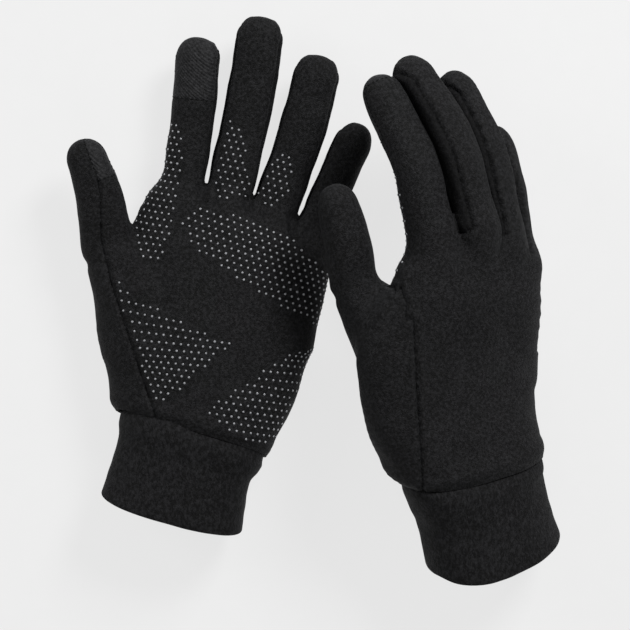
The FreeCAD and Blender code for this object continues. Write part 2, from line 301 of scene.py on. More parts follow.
def grid_over(low, high):
    """Whole-number lattice limits, so that meshes of neighbouring pieces share their points."""
    return np.floor(np.array(low) / GRID).astype(int), np.ceil(np.array(high) / GRID).astype(int)


def lattice_values(field, first, last):
    """The field on the lattice. Blocks far from the surface take the value at their middle."""
    stride = 6
    blocks = [np.arange(first[i], last[i] + 1, stride) for i in range(3)]
    middles = np.stack(np.meshgrid(*blocks, indexing="ij"), axis=-1) + (stride - 1) / 2
    coarse = field(middles.reshape(-1, 3) * GRID).reshape(middles.shape[:3])
    fine = coarse.repeat(stride, 0).repeat(stride, 1).repeat(stride, 2)
    size = np.array(last) - np.array(first) + 1
    fine = fine[:size[0], :size[1], :size[2]].copy()
    near = np.argwhere(np.abs(fine) < stride * GRID * 0.87 + 2.5)
    fine[tuple(near.T)] = field((near + first) * GRID)
    return fine


def surface_net(field, low, high):
    """Points and quads of the surface where the field is zero inside a box."""
    first, last = grid_over(low, high)
    values = lattice_values(field, first, last)
    inside = values < 0
    size = np.array(values.shape)
    corners = [np.array((i, j, k)) for i in (0, 1) for j in (0, 1) for k in (0, 1)]
    def shifted(array, c):
        return array[c[0]:size[0] - 1 + c[0], c[1]:size[1] - 1 + c[1], c[2]:size[2] - 1 + c[2]]
    count = sum(shifted(inside, c).astype(int) for c in corners)
    active = (count > 0) & (count < 8)
    cells = np.argwhere(active)
    number = np.full(active.shape, -1)
    number[active] = np.arange(len(cells))
    total, hits = np.zeros((len(cells), 3)), np.zeros(len(cells))
    for start in corners:
        for axis in range(3):
            if start[axis]:
                continue
            end = start.copy()
            end[axis] = 1
            a, b = values[tuple((cells + start).T)], values[tuple((cells + end).T)]
            cross = (a < 0) != (b < 0)
            t = np.where(cross, a / np.where(a == b, 1, a - b), 0)
            total += np.where(cross[:, None], start + (end - start) * t[:, None], 0)
            hits += cross
    points = (first + cells + total / hits[:, None]) * GRID
    quads = []
    for axis in range(3):
        j, k = (axis + 1) % 3, (axis + 2) % 3
        here = np.moveaxis(inside, (axis, j, k), (0, 1, 2))
        cell = np.moveaxis(number, (axis, j, k), (0, 1, 2))
        change = here[:-1, 1:-1, 1:-1] != here[1:, 1:-1, 1:-1]
        i0, j0, k0 = np.nonzero(change)
        ring = ((0, 0), (1, 0), (1, 1), (0, 1))
        quad = np.stack([cell[i0, j0 + dj, k0 + dk] for dj, dk in ring], 1)
        outward = here[:-1, 1:-1, 1:-1][change]
        quad[~outward] = quad[~outward][:, ::-1]
        quads.append(quad)
    return points, np.vstack(quads)


def gradient(field, x, here=None):
    step = 0.1
    here = field(x) if here is None else here
    return np.stack([field(x + step * np.eye(3)[i]) - here for i in range(3)], axis=1) / step


def settle(field, x, times=2):
    """Moves points onto the surface of the field."""
    for _ in range(times):
        here = field(x)
        g = gradient(field, x, here)
        x = x - g * np.clip(here / np.maximum((g * g).sum(1), 0.05), -0.6, 0.6)[:, None]
    return x


def relaxed(field, points, quads, rounds=2):
    """Evens out the spacing of the points and keeps them on the surface."""
    edges = edges_of(quads)
    edges = np.vstack([edges, edges[:, ::-1]])
    weight = np.bincount(edges[:, 0], minlength=len(points))
    points = settle(field, points, 2)
    for _ in range(rounds):
        mean = np.stack([np.bincount(edges[:, 0], points[edges[:, 1], i], len(points)) for i in range(3)], 1)
        mean /= np.maximum(weight, 1)[:, None]
        points = settle(field, points + 0.6 * (mean - points), 1)
    return settle(field, points, 1)


def edges_of(faces):
    """Every side of every face, as pairs of point numbers."""
    sides = faces.shape[1]
    return np.vstack([faces[:, [i, (i + 1) % sides]] for i in range(sides)])


def triangles_of(points, quads):
    """Quads cut along their shorter diagonal."""
    one = np.linalg.norm(points[quads[:, 0]] - points[quads[:, 2]], axis=1)
    two = np.linalg.norm(points[quads[:, 1]] - points[quads[:, 3]], axis=1)
    a = quads[one <= two]
    b = quads[one > two]
    return np.vstack([a[:, [0, 1, 2]], a[:, [0, 2, 3]], b[:, [0, 1, 3]], b[:, [1, 2, 3]]])


def cut(points, tris, f):
    """Splits the triangles along the line where f, one value for each point, is zero."""
    f = np.where(np.abs(f) < 0.16, 0.0, f)
    sign = np.sign(f)
    ft = sign[tris]
    crossing = (ft.min(1) < 0) & (ft.max(1) > 0)
    keep, work = tris[~crossing], tris[crossing]
    if not len(work):
        return points, tris
    edges = edges_of(work)
    edges = np.sort(edges[sign[edges[:, 0]] * sign[edges[:, 1]] < 0], axis=1)
    edges = np.unique(edges, axis=0)
    fa, fb = f[edges[:, 0]], f[edges[:, 1]]
    t = (fa / (fa - fb))[:, None]
    fresh = points[edges[:, 0]] * (1 - t) + points[edges[:, 1]] * t
    number = {(int(a), int(b)): len(points) + i for i, (a, b) in enumerate(edges)}
    out = []
    for tri in work:
        s = sign[tri]
        if (s == 0).any():
            z = int(np.argmax(s == 0))
            o, a, b = (int(v) for v in np.roll(tri, -z))
            m = number[(min(a, b), max(a, b))]
            out += [(o, a, m), (o, m, b)]
        else:
            odd = int(np.argmax([(s == v).sum() == 1 for v in s]))
            o, a, b = (int(v) for v in np.roll(tri, -odd))
            p, q = number[(min(o, a), max(o, a))], number[(min(o, b), max(o, b))]
            out += [(o, p, q), (p, a, b), (p, b, q)]
    return np.vstack([points, fresh]), np.vstack([keep, np.array(out)])


# ---------------------------------------------------------------- panels and seams

PALM, BACK, SIDE, STRIP, TOUCH = range(5)
STRIP_PALM = 0.45
STRIP_BACK = {-1: 0.86, 1: 0.62}
CUFF_LEAN = 0.3
INDEX_PATCH = 30.0
THUMB_PATCH = 21.0
TIP_WRAP = 4.5
SEAM_DEPTH = 1.0
EDGE_DEPTH = 0.15
PATCH_DEPTH = 0.20
SEAM_REACH = 6.0
GROOVE_WIDTH = 0.85
LIP_SHARE, LIP_PLACE, LIP_WIDTH = 0.42, 2.4, 1.3
STRIP_SIDES = {"index": (1,), "middle": (-1, 1), "ring": (-1, 1), "little": (-1,), "thumb": ()}

# Plan outlines of the thumb panel, on the palm and on the back, in millimetres as the stations are.
LEFT["palm_seam"] = [
    (-113.5, 92.0), (-108.0, 78.0), (-103.5, 65.8), (-102.1, 54.9), (-102.1, 35.8), (-97.8, 16.7),
    (-90.6, -4.8), (-83.5, -26.2), (-75.0, -50.1), (-70.0, -75.0), (-200.0, -75.0), (-200.0, 92.0),
]
LEFT["back_seam"] = [
    (-92.0, 100.0), (-85.0, 60.0), (-85.4, 39.1), (-78.0, 45.0), (-77.5, 36.0), (-84.0, -15.0),
    (-87.0, -50.0), (-90.0, -80.0), (-200.0, -80.0), (-200.0, 100.0),
]
RIGHT["palm_seam"] = [
    (8.0, 75.0), (14.0, 40.0), (18.5, 16.0), (20.5, 0.0), (24.0, -14.0), (38.0, -45.0),
    (53.0, -68.0), (58.0, -100.0), (-60.0, -100.0), (-60.0, 75.0),
]
RIGHT["back_seam"] = [
    (15.0, 85.0), (27.2, 59.6), (33.9, 35.8), (34.6, 21.5), (36.2, 10.0), (42.5, 16.6),
    (44.6, 9.5), (46.7, -31.0), (49.6, -78.7), (51.0, -100.0), (-60.0, -100.0), (-60.0, 85.0),
]
LEFT["wrist_bow"], LEFT["wrist_slant"] = 2.6, 0.12
RIGHT["wrist_bow"], RIGHT["wrist_slant"] = 7.0, 0.17


def outline_distance(xy, outline):
    """Distance to a closed outline, negative inside it."""
    corners = np.array(outline)
    best = np.full(len(xy), 1e9)
    inside = np.zeros(len(xy), bool)
    for a, b in zip(corners, np.roll(corners, -1, axis=0)):
        d = b - a
        t = np.clip(((xy - a) @ d) / (d @ d), 0, 1)
        best = np.minimum(best, np.linalg.norm(xy - a - t[:, None] * d, axis=1))
        if a[1] != b[1]:
            spans = (a[1] > xy[:, 1]) != (b[1] > xy[:, 1])
            inside ^= spans & (xy[:, 0] < a[0] + (xy[:, 1] - a[1]) * d[0] / d[1])
    return np.where(inside, -best, best)


class Sewing:
    """Where the panels of a glove meet, worked out for a set of points on its skin."""

    def __init__(self, glove, x):
        data = glove.data
        self.q = glove.palmness(x)
        self.owner = glove.owner(x)
        plan = glove.plan(x)
        self.palm_seam = outline_distance(plan, data["palm_seam"])
        self.back_seam = outline_distance(plan, data["back_seam"])
        self.length = np.full(len(x), -99.0)
        self.strip = np.full(len(x), 9.0)
        self.patch = np.full(len(x), -9.0)
        for number, digit in enumerate(DIGITS):
            mine = self.owner == number
            tube = glove.tubes[digit]
            s, u, _, _, b = tube.local(x[mine])
            self.length[mine] = s
            back = np.where(u < 0, STRIP_BACK[-1], STRIP_BACK[1])
            taper = 1 - smoothstep(tube.total - 14, tube.total - 2, s)
            half = np.where(self.q[mine] > 0, STRIP_PALM, back) * taper
            strip = np.full(len(s), 9.0)
            for side in STRIP_SIDES[digit]:
                beside = (u * side > 0) & (s > -10)
                strip[beside] = (np.abs(self.q[mine]) - half)[beside] * b[beside]
            self.strip[mine] = strip
            if digit == "index":
                limit = np.where(strip < 9.0, half, 0.08)
                reach = np.minimum(s - (tube.total - INDEX_PATCH), (self.q[mine] - limit) * b)
                self.patch[mine] = np.maximum(reach, s - (tube.total - TIP_WRAP))
            if digit == "thumb":
                self.patch[mine] = np.minimum(s - (tube.total - THUMB_PATCH), self.palm_seam[mine])

    def lines(self):
        """The cutting values, in order: palm from back, the thumb panel on each face, strips, patches."""
        edge = 0.02
        yield self.q * 8
        yield np.where(self.q > -edge, self.palm_seam, 0.0)
        yield np.where(self.q < edge, self.back_seam, 0.0)
        yield np.where(self.strip < 9.0, self.strip, 0.0)
        thumb = (self.owner == 0) & (self.q < edge)
        yield np.where((self.patch > -9.0) & ~thumb, self.patch, 0.0)

    def panel(self):
        """The panel that each point belongs to."""
        panel = np.where(self.q > 0, PALM, BACK)
        side = np.where(self.q > 0, self.palm_seam < 0, self.back_seam < 0)
        panel[side & (self.owner <= 0)] = SIDE
        panel[(self.strip < 0) & (self.owner > 0)] = STRIP
        touch = self.patch > 0
        touch[(self.owner == 0) & (panel != PALM)] = False
        panel[touch] = TOUCH
        return panel


def seam_cut(glove, points, tris):
    for line in range(5):
        values = list(Sewing(glove, points).lines())[line]
        points, tris = cut(points, tris, values)
    return points, tris


def tree_of(points):
    """A tree that finds the nearest of the points."""
    tree = kdtree.KDTree(len(points))
    for i, p in enumerate(points):
        tree.insert(p, i)
    tree.balance()
    return tree


def close_to(points, targets, reach):
    """Distance from each point to the nearest target, as far as reach."""
    tree = tree_of(targets)
    out = np.full(len(points), reach)
    low, high = targets.min(0) - reach, targets.max(0) + reach
    for i in np.nonzero(np.all((points > low) & (points < high), axis=1))[0]:
        out[i] = min(tree.find(points[i])[2], reach)
    return out


def waves(x, scale, seed):
    """A smooth random field made of sine waves about scale millimetres long."""
    rng = np.random.default_rng(seed)
    directions = unit(rng.normal(size=(14, 3)))
    lengths = scale * rng.uniform(0.7, 1.5, 14)
    phases = rng.uniform(0, 2 * math.pi, 14)
    return np.sin(x @ (directions / lengths[:, None]).T * 2 * math.pi + phases).sum(1) / 3.7


def line_distance(xy, line):
    best = np.full(len(xy), 1e9)
    for a, b in zip(line[:-1], line[1:]):
        a, d = np.array(a), np.array(b) - np.array(a)
        t = np.clip(((xy - a) @ d) / (d @ d), 0, 1)
        best = np.minimum(best, np.linalg.norm(xy - a - t[:, None] * d, axis=1))
    return best


# Soft folds: plan line, face (1 palm, -1 back), half width and height, negative for a hollow.
LEFT["folds"] = [
    ([(-84.0, 36.0), (-76.0, 22.0), (-71.0, 6.0)], 1, 5.0, -0.9),
    ([(-88.0, 26.0), (-82.0, 12.0)], 1, 4.0, 0.5),
    ([(-92.0, -46.0), (-80.0, -51.0), (-66.0, -52.0)], 1, 3.0, -0.5),
    ([(-55.0, 62.0), (-53.0, 55.0), (-49.0, 55.0), (-47.5, 61.0)], 1, 1.6, -1.6),
    ([(-33.0, 56.0), (-31.0, 49.0), (-27.5, 48.0), (-25.0, 53.0)], 1, 1.6, -1.6),
    ([(-11.0, 48.0), (-10.0, 38.0), (-6.0, 36.0), (-2.5, 42.0)], 1, 1.8, -1.6),
]
RIGHT["folds"] = [
    ([(15.0, -9.0), (24.0, -3.0), (31.0, 3.0)], -1, 3.4, 0.9),
    ([(14.0, -15.0), (25.0, -9.0), (34.0, -4.0)], -1, 2.6, -0.8),
    ([(20.0, 8.0), (28.0, 4.0)], -1, 3.0, -0.5),
    ([(58.0, -60.0), (70.0, -66.0), (90.0, -62.0)], -1, 4.0, -0.5),
    ([(70.0, 20.0), (84.0, 8.0), (92.0, -8.0)], -1, 7.0, -0.5),
]


def shaped(glove, points, tris, normals):
    """The settled skin with its seams drawn in and its soft folds and wrinkles."""
    centres = points[tris].mean(1)
    panel = Sewing(glove, centres).panel()
    order = np.argsort(tris.ravel(), kind="stable")
    flat, owners = tris.ravel()[order], panel.repeat(3)[order]
    starts = np.concatenate([[0], np.nonzero(np.diff(flat))[0] + 1])
    lowest, highest = np.minimum.reduceat(owners, starts), np.maximum.reduceat(owners, starts)
    seam = np.zeros(len(points), bool)
    seam[flat[starts]] = lowest != highest
    edge = np.zeros(len(points), bool)
    edge[flat[starts]] = (lowest == PALM) & (highest == BACK)
    height = np.zeros(len(points))
    patch = np.zeros(len(points), bool)
    patch[flat[starts]] = (highest == TOUCH) & (lowest != highest)
    for which, depth in ((seam & ~edge & ~patch, SEAM_DEPTH), (edge, EDGE_DEPTH), (patch, PATCH_DEPTH)):
        if which.any():
            d = close_to(points, points[which], SEAM_REACH)
            pucker = 1 + 0.35 * waves(points, 4.0, 5)
            groove = -depth * pucker * np.exp(-(d / GROOVE_WIDTH) ** 2)
            height += groove + LIP_SHARE * depth * np.exp(-((d - LIP_PLACE) / LIP_WIDTH) ** 2)
    plan, q = glove.plan(points), glove.palmness(points)
    for line, face, width, rise in glove.data["folds"]:
        shows = smoothstep(0.1, 0.7, q * face)
        height += rise * shows * np.exp(-(line_distance(plan, line) / width) ** 2)
    s, u, p, _, b = glove.hand.local(points)
    past_wrist = s - wrist_line(glove, u, p / b)
    turned_in = 1 - smoothstep(-0.4, 4.2, past_wrist)
    height += -1.5 * turned_in**1.5 + 0.5 * np.exp(-((past_wrist - 5.5) / 2.6) ** 2)
    height += 0.30 * waves(points, 34.0, 1) + 0.13 * waves(points, 13.0, 2) + 0.03 * waves(points, 5.0, 3)
    return points + normals * height[:, None], panel


def point_normals(points, tris):
    face = np.cross(points[tris[:, 1]] - points[tris[:, 0]], points[tris[:, 2]] - points[tris[:, 0]])
    out = np.zeros_like(points)
    for corner in range(3):
        for i in range(3):
            out[:, i] += np.bincount(tris[:, corner], face[:, i], len(points))
    return out / np.maximum(np.linalg.norm(out, axis=1, keepdims=True), 1e-12)


# ---------------------------------------------------------------- making objects

def add_mesh(name, points, faces, slot):
    """A smooth mesh object from points in millimetres, with the material of its slot."""
    mesh = bpy.data.meshes.new(name)
    mesh.from_pydata((np.asarray(points) / 1000).tolist(), [], [tuple(int(i) for i in f) for f in faces])
    mesh.materials.append(MATERIALS[slot])
    mesh.polygons.foreach_set("use_smooth", np.full(len(mesh.polygons), True))
    obj = bpy.data.objects.new(name, mesh)
    bpy.context.scene.collection.objects.link(obj)
    return obj


def ring_faces(rings, around, first=0):
    """Quads between rings of points, each ring holding the same number of points."""
    faces = []
    for i in range(rings - 1):
        for j in range(around):
            a, b = first + i * around + j, first + i * around + (j + 1) % around
            faces.append((a, b, b + around, a + around))
    return faces


def cloth_piece(name, points, tris, normals, slot):
    """A panel with the thickness of its fabric, shaded by the normals it was given."""
    used, inverse = np.unique(tris, return_inverse=True)
    tris = inverse.reshape(-1, 3)
    outer, n = points[used], normals[used]
    edges = edges_of(tris)
    key = np.sort(edges, axis=1)
    _, first, count = np.unique(key, axis=0, return_index=True, return_counts=True)
    rim = edges[first[count == 1]]
    size = len(outer)
    quads = np.stack([rim[:, 1], rim[:, 0], rim[:, 0] + size, rim[:, 1] + size], axis=1)
    everything = np.vstack([outer, outer - n * FABRIC])
    faces = [*tris.tolist(), *(tris[:, ::-1] + size).tolist(), *quads.tolist()]
    obj = add_mesh(name, everything, faces, slot)
    rim_normal = unit(np.cross(everything[quads[:, 1]] - everything[quads[:, 0]],
                               everything[quads[:, 3]] - everything[quads[:, 0]]) + 1e-12)
    loops = np.vstack([n[tris.ravel()], -n[tris[:, ::-1].ravel()], rim_normal.repeat(4, axis=0)])
    obj.data.normals_split_custom_set(loops.tolist())
    return obj


# ---------------------------------------------------------------- materials

def new_material(name):
    material = bpy.data.materials.new(name)
    material.use_nodes = True
    tree = material.node_tree
    tree.nodes.clear()
    return material, tree


def node(tree, kind, **inputs):
    made = tree.nodes.new(kind)
    for key, value in inputs.items():
        target = made.inputs[key.replace("_", " ")]
        if isinstance(value, bpy.types.NodeSocket):
            tree.links.new(value, target)
        else:
            target.default_value = value
    return made


def maths(tree, operation, a, b=0.0, clamp=False):
    made = tree.nodes.new("ShaderNodeMath")
    made.operation = operation
    made.use_clamp = clamp
    for socket, value in zip(made.inputs, (a, b)):
        if isinstance(value, bpy.types.NodeSocket):
            tree.links.new(value, socket)
        else:
            socket.default_value = value
    return made.outputs[0]


def mixed(tree, share, a, b):
    made = tree.nodes.new("ShaderNodeMix")
    made.data_type = "RGBA"
    tree.links.new(share, made.inputs[0])
    made.inputs[6].default_value = (*a, 1)
    made.inputs[7].default_value = (*b, 1)
    return made.outputs[2]


def surface(tree, **inputs):
    """A principled shader wired to the material's output."""
    shader = node(tree, "ShaderNodeBsdfPrincipled", **inputs)
    node(tree, "ShaderNodeOutputMaterial", Surface=shader.outputs[0])


CLOTH_SHINE = 0.14


def knit(name, dark, light, pitch, relief, roughness, sheen, stretch=(1.0, 1.0, 1.0), twill=False):
    """A fine knit: rows of tiny loops, a heathered tint and a soft nap."""
    material, tree = new_material(name)
    place = node(tree, "ShaderNodeTexCoord").outputs["Object"]
    stretched = node(tree, "ShaderNodeMapping", Vector=place)
    stretched.inputs["Scale"].default_value = stretch
    yarn = stretched.outputs[0]
    heather = node(tree, "ShaderNodeTexNoise", Vector=yarn, Scale=680.0, Detail=2.0, Roughness=0.75)
    broad = node(tree, "ShaderNodeTexNoise", Vector=place, Scale=38.0, Detail=4.0, Roughness=0.55)
    speck = node(tree, "ShaderNodeTexVoronoi", Vector=yarn, Scale=1250.0)
    loops = node(tree, "ShaderNodeTexVoronoi", Vector=yarn, Scale=1.0 / pitch)
    loops.feature = "SMOOTH_F1"
    shade = maths(tree, "MULTIPLY_ADD", heather.outputs[0], 3.4)
    shade.node.inputs[2].default_value = -1.38
    drift = maths(tree, "MULTIPLY", maths(tree, "SUBTRACT", broad.outputs[0], 0.5), 0.5)
    shade = maths(tree, "ADD", shade, drift)
    lit = maths(tree, "MULTIPLY", maths(tree, "LESS_THAN", speck.outputs[0], 0.16), 0.5)
    shade = maths(tree, "ADD", shade, lit, clamp=True)
    colour = mixed(tree, shade, dark, light)
    height = loops.outputs[0]
    if twill:
        ribs = node(tree, "ShaderNodeTexWave", Vector=place, Scale=330.0, Distortion=0.4)
        ribs.bands_direction = "DIAGONAL"
        height = maths(tree, "ADD", height, ribs.outputs[1])
    fuzz = node(tree, "ShaderNodeTexNoise", Vector=place, Scale=2600.0, Detail=2.0)
    height = maths(tree, "ADD", height, maths(tree, "MULTIPLY", fuzz.outputs[0], 0.8))
    bump = node(tree, "ShaderNodeBump", Height=height, Strength=relief, Distance=0.00035)
    surface(tree, Base_Color=colour, Roughness=roughness, Normal=bump.outputs[0],
            Specular_IOR_Level=CLOTH_SHINE, Sheen_Weight=sheen, Sheen_Roughness=0.45,
            Sheen_Tint=(0.75, 0.78, 0.82, 1))
    return material


def silicone(name):
    """Grey print with a faint cloudiness."""
    material, tree = new_material(name)
    place = node(tree, "ShaderNodeTexCoord").outputs["Object"]
    cloud = node(tree, "ShaderNodeTexNoise", Vector=place, Scale=420.0, Detail=2.0)
    share = maths(tree, "MULTIPLY_ADD", cloud.outputs[0], 1.0, clamp=True)
    colour = mixed(tree, share, (0.050, 0.051, 0.055), (0.210, 0.214, 0.225))
    surface(tree, Base_Color=colour, Roughness=0.34, Specular_IOR_Level=0.55)
    return material


def tape(name):
    """Woven tape for the blank label."""
    material, tree = new_material(name)
    place = node(tree, "ShaderNodeTexCoord").outputs["Object"]
    weave = node(tree, "ShaderNodeTexNoise", Vector=place, Scale=1500.0, Detail=2.0)
    colour = mixed(tree, weave.outputs[0], (0.55, 0.55, 0.54), (0.72, 0.72, 0.70))
    bump = node(tree, "ShaderNodeBump", Height=weave.outputs[0], Strength=0.4, Distance=0.0002)
    surface(tree, Base_Color=colour, Roughness=0.6, Normal=bump.outputs[0])
    return material


# name: dark and light tint, loop pitch in metres, relief, roughness, sheen
KNITS = {
    "shell_knit": ((0.0003, 0.0003, 0.0004), (0.0118, 0.0118, 0.0128), 0.00052, 0.95, 0.74, 0.022),
    # the fourchette's tints are about half the shell's: the same black knit with painted shade between the
    # fingers
    "fourchette_knit": ((0.0002, 0.0002, 0.0003), (0.0056, 0.0056, 0.0062), 0.00052, 0.8, 0.84, 0.010),
    "cuff_knit": ((0.0003, 0.0003, 0.0004), (0.0108, 0.0108, 0.0118), 0.00062, 0.9, 0.76, 0.020),
    "touch_knit": ((0.0040, 0.0040, 0.0044), (0.0190, 0.0190, 0.0203), 0.00060, 0.5, 0.66, 0.03),
    "seam_thread": ((0.0004, 0.0004, 0.0005), (0.0030, 0.0030, 0.0034), 0.00030, 0.5, 0.75, 0.0),
}
SPECIAL = {"cuff_knit": {"stretch": (1.0, 0.6, 1.0)}, "touch_knit": {"twill": True}}
MATERIALS = {name: knit(name, *values, **SPECIAL.get(name, {})) for name, values in KNITS.items()}
MATERIALS["silicone_grip"] = silicone("silicone_grip")
MATERIALS["label_tape"] = tape("label_tape")


# ---------------------------------------------------------------- the knitted skin, panel by panel

BLEND_LENGTH = 19.0
TABLE_GAP, TABLE_SOFTNESS = 0.2, 0.9
SLOTS = dict.fromkeys((PALM, BACK, SIDE), "shell_knit") | {STRIP: "fourchette_knit", TOUCH: "touch_knit"}
HAND_PIECES = {PALM: "palm_panel", BACK: "back_panel", SIDE: "thumb_side_panel", STRIP: "finger_webs"}
FINGER_PIECES = {PALM: "palm_side", BACK: "back", STRIP: "fourchette", TOUCH: "touch_patch"}
THUMB_PIECES = {PALM: "palm_side", SIDE: "outer_side", TOUCH: "touch_patch"}
DRAWN_TOGETHER = {"thumb_side_panel": ["thumb_gusset"]}


def bends(glove, obj, digit):
    """Bakes the piece's placement into its mesh, where it lies on the finger."""
    tube = glove.tubes[digit]
    centre, along = tube.at(glove.split[digit])[:2]
    start, end = centre / 1000, (centre + along * BLEND_LENGTH) / 1000
    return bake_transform(obj, glove.side + "_hand", glove.side + "_" + digit, start=tuple(start), end=tuple(end))


def seam_pieces(tris, panel):
    """Edges where two panels meet, as pairs of points."""
    edges = edges_of(tris)
    owner = np.tile(panel, 3)
    key = np.sort(edges, axis=1)
    order = np.lexsort((key[:, 1], key[:, 0]))
    key, owner = key[order], owner[order]
    same = (key[1:] == key[:-1]).all(1) & (owner[1:] != owner[:-1])
    return key[:-1][same], np.sort(np.stack([owner[:-1][same], owner[1:][same]], 1), axis=1)


def rested(points):
    """Flattens what would sink into the table."""
    z = points[:, 2] - TABLE_GAP
    points[:, 2] = TABLE_GAP + (z + np.hypot(z, TABLE_SOFTNESS)) / 2
    return points


def sewn_skin(glove, only, low, high):
    """Points, triangles, panel numbers and normals for a box of the glove's skin."""
    def field(x):
        return glove.skin(x, only)
    points, quads = surface_net(field, low, high)
    points = relaxed(field, points, quads)
    tris = triangles_of(points, quads)
    points, tris = seam_cut(glove, points, tris)
    for digit in DIGITS if only is None else (only,):
        owner = glove.owner(points)
        s = glove.tubes[digit].local(points)[0] - glove.split[digit]
        mine = owner == DIGITS.index(digit)
        points, tris = cut(points, tris, np.where(mine, s, -1.0) if only is None else s)
    if only is None:
        s, u, p, _, b = glove.hand.local(points)
        points, tris = cut(points, tris, s - wrist_line(glove, u, p / b))
    base = unit(gradient(field, points) + 1e-9)
    shaped_points, panel = shaped(glove, points, tris, base)
    shaped_points = rested(shaped_points)
    corner_normals = {}
    for number in range(5):
        corner_normals[number] = point_normals(shaped_points, tris[panel == number])
    return points, shaped_points, tris, panel, corner_normals, base


STITCH, STITCH_GAP, STITCH_RADIUS = 1.7, 0.75, 0.27


def runs_of(pairs):
    """Chains seam edges, pairs of point numbers, into runs."""
    after = {}
    for a, b in pairs:
        after.setdefault(int(a), []).append(int(b))
        after.setdefault(int(b), []).append(int(a))
    used, runs = set(), []
    for start in sorted(after, key=lambda p: (len(after[p]) == 2, p)):
        for step in after[start]:
            run, here, there = [start], start, step
            while there is not None and (min(here, there), max(here, there)) not in used:
                used.add((min(here, there), max(here, there)))
                run.append(there)
                onward = [p for p in after[there] if (min(p, there), max(p, there)) not in used]
                here, there = there, onward[0] if len(onward) == 1 else None
            if len(run) > 3:
                runs.append(run)
    return runs


def stitches(name, points, normals, pairs, kinds):
    """Short dark stitches laid in the sewn seams. The folded edges between palm and back have none."""
    sewn = ~((kinds[:, 0] == PALM) & (kinds[:, 1] == BACK))
    verts, faces = [], []
    angles = np.linspace(0, 2 * math.pi, 6, endpoint=False)
    for run in runs_of(pairs[sewn]):
        line, up = points[run], normals[run]
        length = np.concatenate([[0], np.cumsum(np.linalg.norm(np.diff(line, axis=0), axis=1))])
        for start in np.arange(0.2, length[-1] - STITCH, STITCH + STITCH_GAP):
            places = start + STITCH * np.array([0, 0.16, 0.5, 0.84, 1])
            centre = np.stack([np.interp(places, length, line[:, i]) for i in range(3)], 1)
            lift = np.stack([np.interp(places, length, up[:, i]) for i in range(3)], 1)
            lift = unit(lift)
            along = unit(centre[-1] - centre[0] + 1e-9)
            across = unit(np.cross(along, lift) + 1e-9)
            radius = STITCH_RADIUS * np.array([0.35, 0.9, 1.0, 0.9, 0.35])
            centre = centre + lift * np.array([-0.10, 0.08, 0.16, 0.08, -0.10])[:, None]
            base = sum(len(v) for v in verts)
            for k in range(5):
                ring = np.outer(np.cos(angles), across[k]) + np.outer(np.sin(angles), lift[k])
                verts.append(centre[k] + radius[k] * ring)
            faces += ring_faces(5, 6, base)
            faces.append(tuple(base + j for j in range(5, -1, -1)))
            faces.append(tuple(base + 24 + j for j in range(6)))
    if not verts:
        return None
    return add_mesh(name, np.vstack(verts), faces, "seam_thread")


def wrist_line(glove, u, q):
    """How far along the hand the cuff seam lies at each place round it."""
    return glove.data["wrist_bow"] * np.clip(q, -1, 1) - glove.data["wrist_slant"] * u


def panel_pieces(glove, part, names, skin, keep, place):
    """A piece for each panel that is kept, in place of the CAD panel of its name, and their stitches."""
    points, tris, panel, normals, base = skin
    for number, name in names.items():
        chosen = tris[keep & (panel == number)]
        if len(chosen):
            full = glove.side + part + name
            obj = cloth_piece(full, points, chosen, normals[number], SLOTS[number])
            place(obj)
            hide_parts(full, *[glove.side + "_" + other for other in DRAWN_TOGETHER.get(name, [])])
    return base, seam_pieces(tris[keep], panel[keep])


def hand_skin(glove):
    """The panels of the hand, up to the fingers' roots and the wrist. Returns the points of its skin."""
    tubes = [glove.hand, glove.root, glove.tubes["thumb"]]
    low = np.min([t.low for t in tubes], axis=0) + 6
    high = np.max([t.high for t in tubes], axis=0) - 2
    rest, *skin = sewn_skin(glove, None, low, high)
    points, tris = skin[:2]
    centres = rest[tris].mean(1)
    owner = glove.owner(centres)
    keep = np.ones(len(tris), bool)
    for number, digit in enumerate(DIGITS):
        s = glove.tubes[digit].local(centres)[0]
        keep &= ~((owner == number) & (s > glove.split[digit]))
    s, u, p, _, b = glove.hand.local(centres)
    keep &= s > wrist_line(glove, u, p / b)

    def place(obj):
        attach(obj, glove.side + "_hand")
    base, seams = panel_pieces(glove, "_", HAND_PIECES, skin, keep, place)
    place(stitches(glove.side + "_hand_seam_thread", points, base, *seams))
    return points


def finger_skin(glove, digit):
    """The panels of one finger past its root. Returns the points of its skin."""
    tube = glove.tubes[digit]
    split = glove.split[digit]
    stations = np.array([tube.at(s)[0] for s in np.linspace(split - 9, tube.total, 12)])
    reach = tube.a.max() + 9
    rest, *skin = sewn_skin(glove, digit, stations.min(0) - reach, stations.max(0) + reach)
    points, tris = skin[:2]
    centres = rest[tris].mean(1)
    keep = (glove.owner(centres) == DIGITS.index(digit)) & (tube.local(centres)[0] > split)
    names = THUMB_PIECES if digit == "thumb" else FINGER_PIECES

    def place(obj):
        bends(glove, obj, digit)
    part = "_" + digit + "_"
    base, seams = panel_pieces(glove, part, names, skin, keep, place)
    thread = stitches(glove.side + part + "seam_thread", points, base, *seams)
    if thread:
        place(thread)
    return points


# ---------------------------------------------------------------- cuffs

